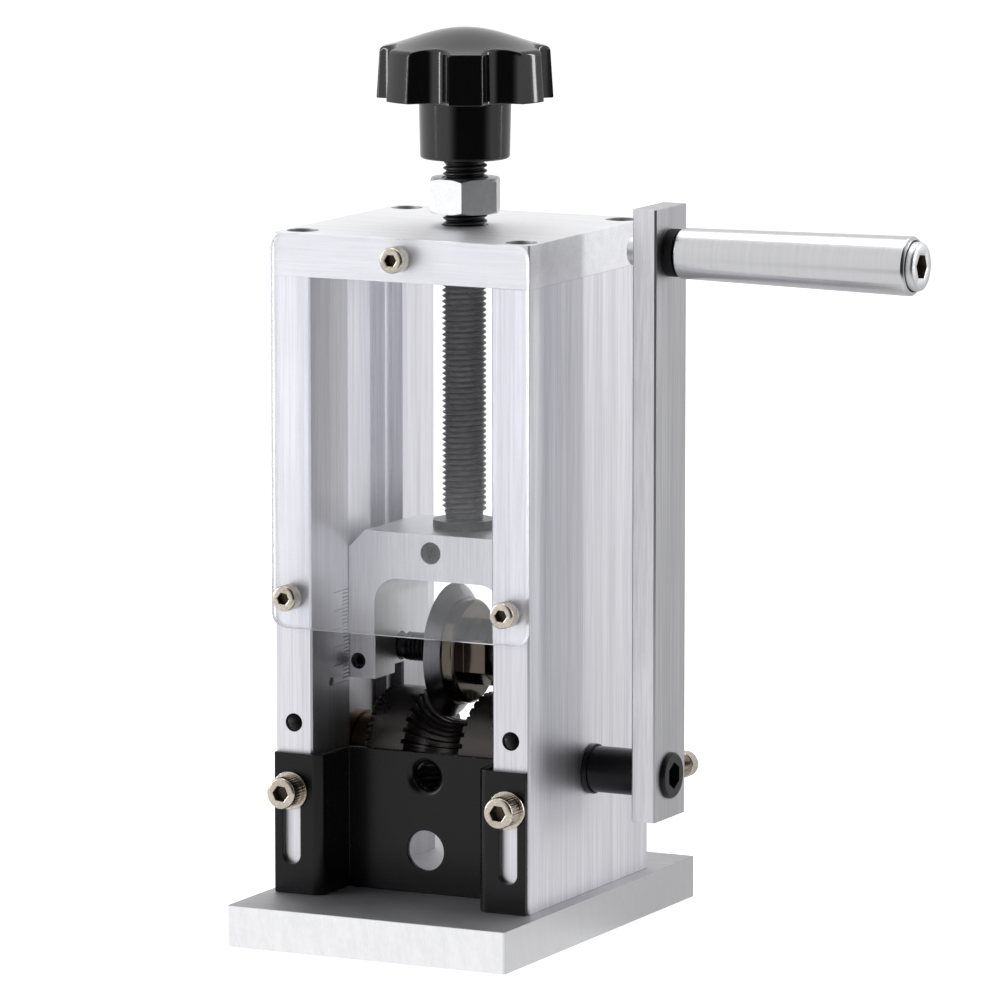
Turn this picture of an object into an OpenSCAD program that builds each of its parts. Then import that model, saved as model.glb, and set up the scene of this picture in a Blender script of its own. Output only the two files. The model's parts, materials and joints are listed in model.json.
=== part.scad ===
/*
 Hand crank wire stripper, in millimetres.
 X runs from the left side plate to the crank, Y runs from the front to the back, Z is up.
 The origin is on the base plate's underside, below the feed screw's axis.
*/

/* [Base plate] */
// Thickness of the base plate
base_t = 11.3; // [9:0.1:16]
// Base plate beyond the body on the left
base_left = 2.5; // [1:0.5:10]
// Base plate beyond the body on the right, on the crank's side
base_right = 4.3; // [1:0.1:10]
// Base plate in front of the body
base_front = 23.5; // [10:0.5:40]
// Base plate behind the body
base_rear = 21; // [10:0.5:40]
// Edge break of the machined plates
edge_break = 0.5; // [0.3:0.1:1]

/* [Body] */
// Width over the two side plates
body_w = 76; // [72:0.5:90]
// Thickness of a side plate
side_t = 11; // [10.5:0.1:13]
// Height of the side plates
side_h = 167.3; // [160:0.5:200]
// Side plate in front of the feed screw's axis
body_front = 38; // [34:0.5:45]
// Side plate behind the feed screw's axis
body_rear = 35.5; // [30:0.5:45]
// Thickness of the top plate
top_t = 11.7; // [10:0.1:16]

/* [Guide grooves] */
// Half width of the wide groove that guides the carriage
groove_half = 16.2; // [15.5:0.1:17]
// Depth of the wide groove
groove_d = 3.2; // [2.5:0.1:3.4]
// Half width of the narrow groove in its floor
slot_half = 12; // [11.5:0.1:13]
// Depth of the narrow groove, from the plate's inner face
slot_d = 6.4; // [6:0.1:6.8]

/* [Clear guard] */
// Height of the guard
guard_h = 106.6; // [90:0.5:115]
// Thickness of the guard
guard_t = 2; // [1.5:0.5:3]
// Corner radius of the guard
guard_r = 4; // [1:0.5:8]

/* [Wire guide] */
// Thickness of the sheet
guide_t = 1.8; // [1.2:0.1:2.5]
// Height of the wire guide
guide_h = 38.4; // [35:0.2:39.4]
// Depth of the guide's trough, from flange to panel
guide_depth = 15.6; // [12:0.2:17]
// Outer radius of the guide's bends
guide_bend = 3.2; // [2.7:0.1:3.6]
// Gap between a column and the trough's wall
guide_gap = 2.1; // [1.5:0.1:2.5]
// Upward travel of the guide in its slots
guide_travel = 17.5; // [10:0.5:18]
// Radius of the hole for thin wire
wire_hole_r = 3.5; // [2:0.1:4.5]
// Height of the thin wire hole above the base plate
wire_hole_z = 32; // [30:0.1:32]
// Radius of the hole for thick wire
cable_hole_r = 5.5; // [4:0.25:7]
// Height of the thick wire hole above the base plate
cable_hole_z = 11.8; // [10:0.1:13]
// Wall around the thin wire hole, where the sheet is pressed inwards
flare_w = 1.2; // [0.8:0.1:1.6]

/* [Carriage] */
// Height of the carriage's top above the base plate, at its lowest
block_z = 96.6; // [94:0.2:100]
// Thickness of the bridge over the arch
bridge_t = 12.6; // [11:0.2:14]
// Width of a leg beside the arch, to the side plate's inner face
leg_w = 7.8; // [7:0.1:8.2]
// Radius of the arch's top corners
arch_r = 7; // [4:0.5:9]
// Height of the feet above the base plate
foot_z = 56; // [55.4:0.1:56.2]
// Thickness of a foot in front of the relief
foot_d = 11.5; // [9:0.5:11.8]
// Height of the relief behind a foot
relief_h = 2.4; // [1.8:0.1:2.6]
// Chamfer on the top corners
block_chamfer = 8; // [4:0.5:9]

/* [Cutter] */
// Height of the cutter's axle above the base plate, at its lowest
axle_z = 62.9; // [62.7:0.1:63.4]
// Radius of the axle
axle_r = 4; // [3.5:0.1:4.2]
// Radius of the cutting edge
blade_r = 18.4; // [17:0.1:18.4]
// Thickness of the blade
blade_t = 4.2; // [3.8:0.1:5]
// Radius where the bevel ends on the hub's side
bevel_r = 14.9; // [14.6:0.1:15.5]
// Radius of the hub's flange
hub_r = 14.2; // [13:0.1:14.4]
// Thickness of the hub's flange
hub_flange_t = 3.6; // [3.4:0.1:4]
// Length of the hub beyond the blade
hub_l = 10.2; // [8:0.1:11]
// Across flats of the hub's hexagon end
hub_af = 16; // [14:0.5:16.5]
// Plane of the cut, from the middle of the body
cut_x = -3.6; // [-4:0.1:0]

/* [Feed roller] */
// Height of the drive shaft's axis above the base plate
shaft_z = 33.5; // [33:0.1:34]
// Radius of the drive shaft
shaft_r = 6.25; // [6:0.05:6.5]
// Radius of the roller
roller_r = 18.4; // [17:0.1:18.8]
// Gap between the roller and a side plate's inner face
roller_gap = 5; // [4.5:0.1:7]
// Radius of the round groove
round_r = 8.3; // [7.8:0.1:9.2]
// Middle of the round groove, from the middle of the body
groove_x = -1.6; // [-3:0.1:0]
// Gap between the cutting edge and the groove's floor at the lowest setting
cut_gap = 0.6; // [0.4:0.1:1.2]
// Number of teeth in the groove
teeth = 36; // [24:1:48]
// Width of the slot between two teeth
tooth_slot_w = 1.1; // [0.8:0.1:1.3]
// Depth of the slot between two teeth
tooth_slot_d = 0.9; // [0.5:0.1:1.2]
// Number of notches in each rim
rim_notches = 60; // [40:1:72]
// Size of a rim notch
rim_notch = 0.8; // [0.5:0.1:1]

/* [Crank] */
// Gap between the body and the arm
arm_gap = 16.3; // [12:0.1:20]
// Thickness of the arm
arm_t = 7; // [6:0.5:10]
// Width of the arm
arm_w = 19.3; // [17:0.1:24]
// Distance between the shaft and the handle
crank_r = 141; // [120:1:180]
// Arm beyond the shaft's axis
arm_low = 11.6; // [10:0.2:14]
// Arm beyond the handle's axis
arm_high = 12.2; // [10:0.2:14]
// Across flats of the drive socket in the shaft's end
drive_af = 6.4; // [6:0.1:7]
// Depth of the drive socket
drive_depth = 9; // [6:0.5:12]

/* [Handle] */
// Length of the sleeve
sleeve_l = 67.3; // [55:0.1:90]
// Radius of the sleeve at the arm
sleeve_r0 = 6.8; // [6.5:0.1:9]
// Radius of the sleeve at its free end
sleeve_r1 = 7.9; // [7.6:0.1:10]
// Thickness of the spacer between arm and sleeve
handle_spacer_t = 2.8; // [1.5:0.1:5]
// Radius of the handle's bolt
bolt_r = 4; // [3.5:0.1:4.3]

/* [Feed screw and knob] */
// Outer radius of the feed screw's thread
screw_r = 6; // [5.6:0.1:6.1]
// Pitch of the feed screw's thread
pitch = 1.5; // [1.25:0.25:2]
// Depth of the thread
thread_d = 0.9; // [0.6:0.05:1]
// Height of the knob's underside above the top plate
knob_gap = 17.9; // [17:0.1:24]
// Radius of the knob over its lobes
knob_r = 24.5; // [20:0.5:30]
// Height of the knob's grip
grip_h = 13.6; // [10:0.2:18]
// Height of the knob's dome
dome_h = 5.9; // [3:0.1:8]
// Radius of the knob's hub
knob_hub_r = 12.6; // [11:0.1:14]
// Height of the knob's hub
knob_hub_h = 16.1; // [12:0.1:20]
// Number of lobes
lobes = 7; // [5:1:9]
// Across flats of the lock nut
nut_af = 18; // [17:0.1:19]
// Height of the lock nut
nut_h = 9.4; // [8:0.1:10]
// Gap between the lock nut and the top plate
nut_gap = 3.3; // [1:0.1:4]

/* [Hidden] */
$fn = 64;

// overrun of every cut, and the clearances between pieces
over = 1;
slide_fit = 0.2;
run_fit = 0.05;
seat_fit = 0.1;
free_fit = 0.3;

// heights above the underside
side_z0 = base_t;
top_z0 = side_z0 + side_h;
top_z1 = top_z0 + top_t;
shaft_h = side_z0 + shaft_z;
axle_h = side_z0 + axle_z;
block_top = side_z0 + block_z;

// the side plates' faces
body_half = body_w / 2;
inner_half = body_half - side_t;
body_mid_y = (body_rear - body_front) / 2;
floor_half = inner_half + slot_d;

// M4 cap screw: thread, head, socket, countersink
m4_r = 2;
m4_head_r = 3.5;
m4_head_h = 4;
m4_af = 3;
m4_socket = 2.2;
m4_bore_r = 4.3;
m4_bore_d = 4.6;
m4_l = 18;
m4_short_l = 8;
m4_clear = 0.25;

// M5 cap screw and its washer
m5_r = 2.5;
m5_head_r = 4.25;
m5_head_h = 5;
m5_af = 4;
m5_socket = 2.8;
m5_l = 10;
m5_long_l = 18;
m5_clear = 0.15;
m5_bore_r = 4.9;
m5_bore_d = 5.5;
washer_r = 5.2;
washer_t = 1;

// where the screws go
top_screw_y = 6.2;
base_screw_y = 12;
column_mid = body_half - side_t / 2;
spare_z = 46.5;
spare_d = 12;
guard_side_up = 8.6;
guard_top_below = 5.3;
guide_screw_z = 28.3;

// engraved scale and index hole on the left plate
tick_count = 26;
tick_step = 1;
tick_z = 55.2;
tick_w = 0.3;
tick_d = 0.4;
tick_l = 3.6;
tick_long_l = 8.8;
tick_long_every = 5;
index_r = 1.2;
index_d = 3;
index_y = 10.5;
index_z = 56.3;

// wire guide
guide_wall_x = inner_half - guide_gap;
guide_z0 = side_z0 + seat_fit;
guide_flange_in = inner_half - guide_gap - guide_t;
guide_in_bend = guide_bend - guide_t;
guide_slot_r = m5_r + m5_clear;
guide_side_cut = 0.4;
flare_d = 1.4;

// carriage
arch_half = inner_half - leg_w;
block_half_d = groove_half - slide_fit;
block_half_w = inner_half + groove_d - slide_fit;
arch_top = block_top - bridge_t;
foot_h = side_z0 + foot_z;
retainer_r = 3;
retainer_x = -2.2;
retainer_below = 5;
retainer_af = 3;
retainer_sunk = 0.4;
neck_r = 3.9;
neck_play = 0.3;
tip_r = 4.8;
tip_h = 3;
dog_gap = 0.2;
dog_r = 2;
dog_l = 2.5;
neck_h = retainer_below + dog_r + neck_play;

// cutter
axle_half = block_half_w - slide_fit;
axle_thread_d = 0.55;
axle_pitch = 1.25;
blade_land = 0.9;
blade_x0 = cut_x - blade_land;
blade_x1 = blade_x0 + blade_t;
spigot_r = 8;
flange_x1 = blade_x1 + hub_flange_t;
hub_x1 = blade_x1 + hub_l;
hub_chamfer = 0.8;
bush_r = 5.6;
jam_af = 13;
jam_h = 3.2;
collar_r = 6.3;
collar_share = 0.36;
collar_l = collar_share * (arch_half - hub_x1 - free_fit);
blade_screw_r = 1.5;
blade_screw_head_r = 2.8;
blade_screw_l = 7;
blade_screw_circle = 11.2;
blade_screws_n = 3;
set_screw_z = 2.3;
set_screw_x = 5.2;
set_screw_r = 2.2;
set_screw_sunk = 1.2;

// feed roller and its shaft
roller_half = inner_half - roller_gap;
floor_r = axle_z - shaft_z - blade_r - cut_gap;
cut_off = groove_x - cut_x;
round_c = floor_r + sqrt(round_r * round_r - cut_off * cut_off);
flange_r = 10.6;
flange_t = 3;
barrel_r = 8;
bush_lip = 2;
thrust_r = 10;
thrust_gap = 0.15;
thrust_x0 = floor_half - flange_t - thrust_gap;
thrust_x1 = roller_half + thrust_gap;
clip_r = 8;
clip_t = 1.2;
clip_groove_r = 5.7;
shaft_end_left = 3.6;
shaft_collar_r = 6.8;
shaft_collar_l = 1.4;
roller_screw_r = 2.5;
roller_screw_af = 2.5;
roller_screw_l = 8;
roller_screw_in = 6;
roller_screw_x = roller_half - roller_screw_in;
roller_flat = 0.8;

// crank and handle
arm_x0 = body_half + arm_gap;
arm_x1 = arm_x0 + arm_t;
shaft_proud = 1.3;
handle_h = shaft_h + crank_r;
clamp_screw_gap = 5;
sleeve_x0 = arm_x1 + handle_spacer_t + slide_fit;
sleeve_x1 = sleeve_x0 + sleeve_l;
spacer_r = 6.4;
bolt_head_r = 6.5;
bolt_head_h = 8;
bolt_head_proud = 2;
bolt_af = 6;
bolt_socket = 4;
bolt_chamfer = 1;
bolt_past = 4.5;
bore_r = bolt_head_r + free_fit;
bore_d = bolt_head_h - bolt_head_proud + slide_fit;
sleeve_edge = 0.7;

// feed screw and knob
nut_z0 = top_z1 + nut_gap;
knob_z0 = top_z1 + knob_gap;
grip_z0 = knob_z0 + knob_hub_h;
grip_z1 = grip_z0 + grip_h;
screw_bore_r = screw_r + free_fit;
screw_sink = 0.2;
screw_in_knob = 14;
disc_r = 8.5;
disc_t = 2.4;
disc_gap = 0.1;
scallop_r = 6.6;
scallop_floor = 0.8;
knob_edge = 0.8;
dome_power = 1.3;
dome_steps = 12;
draft = 0.5;
insert_r = 8.5;
insert_h = 14.5;
segments = 16;
nut_chamfer = 1.2;
knob_turn = 26;
nut_turn = 51.2;

// plate with its upper or lower long edges left sharp and its corners broken
module plate(x, y, z) {
    linear_extrude(z) polygon([
        [-x / 2 + edge_break, -y / 2], [x / 2 - edge_break, -y / 2],
        [x / 2, -y / 2 + edge_break], [x / 2, y / 2 - edge_break],
        [x / 2 - edge_break, y / 2], [-x / 2 + edge_break, y / 2],
        [-x / 2, y / 2 - edge_break], [-x / 2, -y / 2 + edge_break]]);
}

// cylinder along X from x0 to x1
module bar_x(r, x0, x1) {
    translate([x0, 0, 0]) rotate([0, 90, 0]) cylinder(r = r, h = x1 - x0);
}

// hexagon prism by its size across flats, along Z
module hex(af, h) {
    cylinder(r = af / sqrt(3), h = h, $fn = 6);
}

// cap screw pointing down: the head's underside is at 0
module cap_screw(r, l, head_r, head_h, af, socket) {
    edge = head_r / 10;
    difference() {
        union() {
            cylinder(r = head_r, h = head_h - edge);
            translate([0, 0, head_h - edge]) cylinder(r1 = head_r, r2 = head_r - edge, h = edge);
            translate([0, 0, -l]) cylinder(r = r, h = l + edge);
        }
        translate([0, 0, head_h - socket]) hex(af, socket + over);
    }
}

module m4_screw(l) {
    cap_screw(m4_r, l, m4_head_r, m4_head_h, m4_af, m4_socket);
}

module m5_screw(l) {
    cap_screw(m5_r, l, m5_head_r, m5_head_h, m5_af, m5_socket);
}

// socket set screw whose flat end is at 0 and whose socket points up
module set_screw(r, l, af) {
    difference() {
        cylinder(r = r, h = l);
        translate([0, 0, l - r]) hex(af, r + over);
    }
}

module ring(r1, r0, h) {
    difference() {
        cylinder(r = r1, h = h);
        translate([0, 0, -over]) cylinder(r = r0, h = h + 2 * over);
    }
}

// hexagon nut with both ends chamfered
module hex_nut(af, h, r0, chamfer) {
    corner = af / sqrt(3);
    flat = chamfer * tan(30);
    difference() {
        intersection() {
            hex(af, h);
            union() {
                cylinder(r1 = corner - chamfer, r2 = corner, h = flat);
                translate([0, 0, flat]) cylinder(r = corner + over, h = h - 2 * flat);
                translate([0, 0, h - flat]) cylinder(r1 = corner, r2 = corner - chamfer, h = flat);
            }
        }
        translate([0, 0, -over]) cylinder(r = r0, h = h + 2 * over);
    }
}

// thread: two helical lines, root and crest, closed by flat ends
function thread_row(j, r_out, depth) = j % 2 == 0 ? r_out - depth : r_out;
function thread_points(r_out, depth, step, turns) = concat(
    [for (i = [0:segments - 1]) [
        (r_out - depth) * cos(360 * i / segments),
        (r_out - depth) * sin(360 * i / segments), 0]],
    [for (j = [0:2 * turns], i = [0:segments - 1])
        let (r = thread_row(j, r_out, depth), a = 360 * i / segments) [
        r * cos(a), r * sin(a), step * (j / 2 + i / segments + 0.25)]],
    [for (i = [0:segments - 1]) [
        (r_out - depth) * cos(360 * i / segments),
        (r_out - depth) * sin(360 * i / segments), step * (turns + 1.5)]]);
function grid(j, i) = (j + 1) * segments + i;
function thread_faces(turns) = let (last = segments - 1, top = 2 * turns + 1) concat(
    [[for (i = [0:last]) i]],
    [for (j = [-1:top - 1], i = [0:last - 1]) [grid(j, i), grid(j + 1, i), grid(j + 1, i + 1)]],
    [for (j = [-1:top - 1], i = [0:last - 1]) [grid(j, i), grid(j + 1, i + 1), grid(j, i + 1)]],
    [for (j = [0:top - 4]) [grid(j, last), grid(j + 1, last), grid(j + 3, 0)]],
    [for (j = [0:top - 4]) [grid(j, last), grid(j + 3, 0), grid(j + 2, 0)]],
    [for (j = [-1:1]) [grid(-1, last), grid(j + 1, 0), grid(j, 0)]],
    [[grid(-1, last), grid(0, last), grid(2, 0)]],
    [for (j = [top - 3:top - 1]) [grid(j, last), grid(j + 1, last), grid(top, 0)]],
    [[grid(top - 3, last), grid(top, 0), grid(top - 1, 0)]],
    [[for (i = [last:-1:0]) grid(top, i)]]);
module thread(r_out, depth, step, turns) {
    polyhedron(thread_points(r_out, depth, step, turns), thread_faces(turns));
}
function thread_length(step, turns) = step * (turns + 1.5);

module base_plate() {
    w = base_left + body_w + base_right;
    d = base_front + body_front + body_rear + base_rear;
    mid_x = (base_right - base_left) / 2;
    mid_y = body_mid_y + (base_rear - base_front) / 2;
    color([0.42, 0.42, 0.44]) difference() {
        translate([mid_x, mid_y, 0]) plate(w, d, base_t);
        at_base_screws() {
            translate([0, 0, -over]) cylinder(r = m5_r + slide_fit, h = base_t + 2 * over);
            translate([0, 0, -over]) cylinder(r = m5_bore_r, h = m5_bore_d + over);
        }
    }
}

module at_base_screws() {
    for (x = [-column_mid, column_mid], y = [base_screw_y - body_front, body_rear - base_screw_y])
        translate([x, y, 0]) children();
}

module base_screws() {
    color([0.2, 0.2, 0.21]) at_base_screws()
        translate([0, 0, m5_bore_d - seat_fit]) mirror([0, 0, 1]) m5_screw(m5_long_l);
}

// a side plate is drawn as the left one, its outer face at -body_half
module side_plate_blank() {
    depth = body_front + body_rear;
    difference() {
        translate([-body_half + side_t / 2, body_mid_y, side_z0]) plate(side_t, depth, side_h);
        translate([-inner_half - groove_d, -groove_half, side_z0 - over])
            cube([groove_d + over, 2 * groove_half, side_h + 2 * over]);
        translate([-floor_half, -slot_half, side_z0 - over])
            cube([slot_d, 2 * slot_half, side_h + 2 * over]);
        translate([0, 0, shaft_h]) {
            bar_x(barrel_r, bush_lip - body_half, -floor_half + over);
            bar_x(shaft_r + free_fit, -body_half - over, -floor_half);
        }
        at_base_screws()
            translate([0, 0, side_z0 - over]) cylinder(r = m5_r, h = m5_long_l + over);
        at_top_screws()
            translate([0, 0, top_z0 - m4_l]) cylinder(r = m4_r, h = m4_l + over);
        at_guard_side_screws() tapped(m4_r, m4_short_l + over);
        at_spare_holes() tapped(m5_r, spare_d);
        at_guide_screws() tapped(m5_r, spare_d);
    }
}

// blind hole from the body's front face
module tapped(r, depth) {
    translate([0, -over, 0]) rotate([-90, 0, 0]) cylinder(r = r, h = depth + over);
}

module at_top_screws() {
    for (x = [-column_mid, column_mid], y = [top_screw_y - body_front, body_rear - top_screw_y])
        translate([x, y, 0]) children();
}

module at_columns(z) {
    for (x = [-column_mid, column_mid]) translate([x, -body_front, side_z0 + z]) children();
}

module at_guard_side_screws() {
    at_columns(top_z1 - guard_h + guard_side_up - side_z0) children();
}

module at_spare_holes() {
    at_columns(spare_z) children();
}

module at_guide_screws() {
    at_columns(guide_screw_z) children();
}

module left_side_plate() {
    color([0.78, 0.78, 0.8]) difference() {
        side_plate_blank();
        for (i = [0:tick_count - 1]) {
            l = i % tick_long_every == 0 ? tick_long_l : tick_l;
            translate([-inner_half - tick_d, -groove_half - l, side_z0 + tick_z + tick_step * i])
                cube([tick_d + over, l + over, tick_w]);
        }
        translate([-inner_half - index_d, -groove_half - index_y, side_z0 + index_z])
            rotate([0, 90, 0]) cylinder(r = index_r, h = index_d + over);
    }
}

module right_side_plate() {
    color([0.78, 0.78, 0.8]) mirror([1, 0, 0]) side_plate_blank();
}

module top_plate() {
    color([0.82, 0.82, 0.84]) difference() {
        translate([0, body_mid_y, top_z0]) plate(body_w, body_front + body_rear, top_t);
        translate([0, 0, top_z0 - over]) cylinder(r = screw_bore_r, h = top_t + 2 * over);
        translate([0, 0, top_z1 - screw_sink])
            cylinder(r1 = screw_bore_r, r2 = screw_bore_r + screw_sink + over, h = screw_sink + over);
        at_top_screws() {
            translate([0, 0, top_z0 - over]) cylinder(r = m4_r + m4_clear, h = top_t + 2 * over);
            translate([0, 0, top_z1 - m4_bore_d]) cylinder(r = m4_bore_r, h = m4_bore_d + over);
        }
        translate([0, -body_front, top_z1 - guard_top_below]) tapped(m4_r, m4_short_l);
    }
}

module top_plate_screws() {
    color([0.25, 0.25, 0.26]) at_top_screws()
        translate([0, 0, top_z1 - m4_bore_d + seat_fit]) m4_screw(m4_l);
}

module guard_outline() {
    w = body_w / 2 - guard_r;
    hull() for (x = [-w, w], z = [guard_r, guard_h - guard_r])
        translate([x, z]) circle(r = guard_r, $fn = 32);
}

module guard_panel() {
    z0 = top_z1 - guard_h;
    color([0.9, 0.95, 1, 0.35]) difference() {
        translate([0, -body_front, z0]) rotate([90, 0, 0]) linear_extrude(guard_t)
            guard_outline();
        at_guard_side_screws() guard_hole();
        translate([0, -body_front, top_z1 - guard_top_below]) guard_hole();
    }
}

module guard_hole() {
    translate([0, over, 0]) rotate([90, 0, 0]) cylinder(r = m4_r + m4_clear, h = guard_t + 2 * over);
}

module guard_screw() {
    translate([0, -guard_t - seat_fit, 0]) rotate([90, 0, 0]) m4_screw(m4_short_l);
}

module guard_screws() {
    color([0.75, 0.72, 0.66]) {
        at_guard_side_screws() guard_screw();
        translate([0, -body_front, top_z1 - guard_top_below]) guard_screw();
    }
}

// section of the bent sheet, as seen from above: the right half
module guide_half_section() {
    front = -body_front - guide_t;
    panel = -body_front + guide_depth - guide_t;
    flange_x1 = body_half - guide_side_cut;
    wall_out = guide_wall_x;
    wall_in = guide_flange_in;
    difference() {
        polygon([[0, panel], [wall_in, panel], [wall_in, front], [flange_x1, front],
            [flange_x1, front + guide_t], [wall_out, front + guide_t],
            [wall_out, panel + guide_t], [0, panel + guide_t]]);
        corner([wall_in, front], [1, 1], guide_bend);
        corner([wall_out, panel + guide_t], [-1, -1], guide_bend);
    }
    corner([wall_in, panel], [-1, 1], guide_in_bend);
    corner([wall_out, front + guide_t], [1, -1], guide_in_bend);
}

// what a fillet takes off a corner, or fills in a recess
module corner(p, way, r) {
    translate(p) scale([way[0], way[1]]) difference() {
        square(r);
        translate([r, r]) circle(r = r);
    }
}

module guide_slot() {
    low = -guide_travel;
    for (z = [low, 0]) translate([0, over, z]) rotate([90, 0, 0])
        cylinder(r = guide_slot_r, h = guide_t + 2 * over);
    translate([-guide_slot_r, -guide_t - over, low])
        cube([2 * guide_slot_r, guide_t + 2 * over, guide_travel]);
}

module guide_bracket() {
    panel_y = -body_front + guide_depth - guide_t;
    color([0.09, 0.09, 0.1]) difference() {
        union() {
            translate([0, 0, guide_z0]) linear_extrude(guide_h) {
                guide_half_section();
                mirror([1, 0]) guide_half_section();
            }
            translate([0, panel_y + guide_t, side_z0 + wire_hole_z]) rotate([-90, 0, 0])
                cylinder(r1 = wire_hole_r + 2 * flare_w, r2 = wire_hole_r + flare_w, h = flare_d);
        }
        at_guide_screws() guide_slot();
        translate([0, panel_y, side_z0 + wire_hole_z]) rotate([-90, 0, 0]) {
            rotate_extrude() corner([wire_hole_r, 0], [1, 1], 2 * flare_w);
            translate([0, 0, -over]) cylinder(r = wire_hole_r, h = flare_d + guide_t + 2 * over);
        }
        translate([0, panel_y - over, side_z0 + cable_hole_z]) rotate([-90, 0, 0])
            cylinder(r = cable_hole_r, h = guide_t + 2 * over);
    }
}

module guide_screws() {
    color([0.75, 0.72, 0.66]) at_guide_screws()
        translate([0, -guide_t - washer_t - 2 * seat_fit, 0]) rotate([90, 0, 0]) m5_screw(m5_l);
}

module guide_washers() {
    color([0.75, 0.72, 0.66]) at_guide_screws()
        translate([0, -guide_t - seat_fit, 0]) rotate([90, 0, 0])
            ring(washer_r, m5_r + m5_clear, washer_t);
}

// front view of the bridge, from its feet up
module block_outline() {
    h = block_top - foot_h;
    difference() {
        polygon([[-block_half_w, 0], [block_half_w, 0], [block_half_w, h - block_chamfer],
            [block_half_w - block_chamfer, h], [block_chamfer - block_half_w, h],
            [-block_half_w, h - block_chamfer]]);
        difference() {
            translate([-arch_half, -over]) square([2 * arch_half, arch_top - foot_h + over]);
            for (s = [-1, 1]) corner([s * arch_half, arch_top - foot_h], [-s, -1], arch_r);
        }
    }
}

module carriage_block() {
    bore = tip_r + slide_fit;
    color([0.8, 0.8, 0.82]) difference() {
        translate([0, block_half_d, foot_h]) rotate([90, 0, 0])
            linear_extrude(2 * block_half_d) block_outline();
        translate([-block_half_w - over, foot_d - block_half_d, foot_h - over])
            cube([2 * (block_half_w + over), 2 * block_half_d, relief_h + over]);
        translate([0, 0, block_top - neck_h - tip_h - slide_fit])
            cylinder(r = bore, h = neck_h + tip_h + slide_fit + over);
        translate([retainer_x, -block_half_d - over, block_top - retainer_below]) rotate([-90, 0, 0])
            cylinder(r = retainer_r, h = block_half_d + over);
        translate([0, 0, axle_h]) bar_x(axle_r, -block_half_w - over, block_half_w + over);
        at_axle_set_screws() rotate([-90, 0, 0])
            translate([0, 0, -over]) cylinder(r = set_screw_r, h = block_half_d + over);
    }
}

module screw_retainer() {
    length = block_half_d - retainer_sunk - neck_r - dog_gap - dog_l;
    color([0.3, 0.3, 0.31])
        translate([retainer_x, -neck_r - dog_gap, block_top - retainer_below]) rotate([90, 0, 0]) {
            cylinder(r = dog_r, h = dog_l + seat_fit);
            translate([0, 0, dog_l]) set_screw(retainer_r, length, retainer_af);
        }
}

module at_axle_set_screws() {
    for (s = [-1, 1])
        translate([s * (arch_half + set_screw_x), -block_half_d, axle_h - set_screw_z]) children();
}

module axle_set_screws() {
    reach = sqrt(axle_r * axle_r - set_screw_z * set_screw_z);
    length = block_half_d - reach - set_screw_sunk;
    color([0.2, 0.2, 0.21]) at_axle_set_screws()
        translate([0, set_screw_sunk + length, 0]) rotate([90, 0, 0])
            difference() {
                set_screw(set_screw_r, length, m4_socket);
                translate([0, set_screw_z, -reach]) rotate([0, 90, 0])
                    translate([0, 0, -side_t]) cylinder(r = axle_r + run_fit, h = 2 * side_t);
            }
}

module cutter_axle() {
    x0 = -arch_half + slide_fit;
    turns = floor((blade_x0 - jam_h - free_fit - x0) / axle_pitch - 1.5);
    x1 = x0 + thread_length(axle_pitch, turns);
    neck = axle_r - axle_thread_d - slide_fit;
    color([0.1, 0.1, 0.11]) translate([0, 0, axle_h]) {
        bar_x(axle_r, -axle_half, x0 - slide_fit);
        bar_x(neck, -axle_half + over, axle_half - over);
        translate([x0, 0, 0]) rotate([0, 90, 0])
            thread(axle_r, axle_thread_d, axle_pitch, turns);
        bar_x(axle_r, x1 + slide_fit, axle_half);
    }
}

module axle_lock_nut() {
    color([0.14, 0.14, 0.15]) translate([blade_x0 - free_fit - jam_h, 0, axle_h])
        rotate([0, 90, 0]) hex_nut(jam_af, jam_h, axle_r + seat_fit, seat_fit * 5);
}

module cutter_bush() {
    x0 = blade_x0 - free_fit + seat_fit;
    color([0.62, 0.48, 0.3]) translate([x0, 0, axle_h]) rotate([0, 90, 0])
        ring(bush_r, axle_r + run_fit, hub_x1 + free_fit - seat_fit - x0);
}

module cutter_collar() {
    color([0.8, 0.8, 0.82]) translate([hub_x1 + free_fit, 0, axle_h]) rotate([0, 90, 0])
        ring(collar_r, axle_r + run_fit, collar_l);
}

module at_blade_screws() {
    for (i = [0:blade_screws_n - 1])
        rotate([360 / blade_screws_n * i, 0, 0]) translate([0, 0, blade_screw_circle]) children();
}

// disc with a short flat land at its edge and one long bevel towards the hub
module cutter_blade() {
    color([0.72, 0.72, 0.74]) translate([blade_x0, 0, axle_h]) difference() {
        rotate([0, 90, 0]) rotate_extrude() polygon([
            [spigot_r + run_fit, 0], [bevel_r, 0], [blade_r, blade_land],
            [bevel_r, blade_t - seat_fit], [bevel_r - seat_fit, blade_t],
            [spigot_r + run_fit, blade_t]]);
        at_blade_screws() {
            bar_x(blade_screw_r + slide_fit, -over, blade_t + over);
            bar_x(blade_screw_head_r, -over, blade_screw_r);
        }
    }
}

module blade_screws() {
    color([0.2, 0.2, 0.21]) translate([blade_x0, 0, axle_h]) at_blade_screws() difference() {
        union() {
            bar_x(blade_screw_r, seat_fit, blade_screw_l);
            bar_x(blade_screw_head_r - seat_fit, seat_fit, blade_screw_r - seat_fit);
        }
        rotate([0, 90, 0]) hex(blade_screw_r, blade_screw_r / 2);
    }
}

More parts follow.
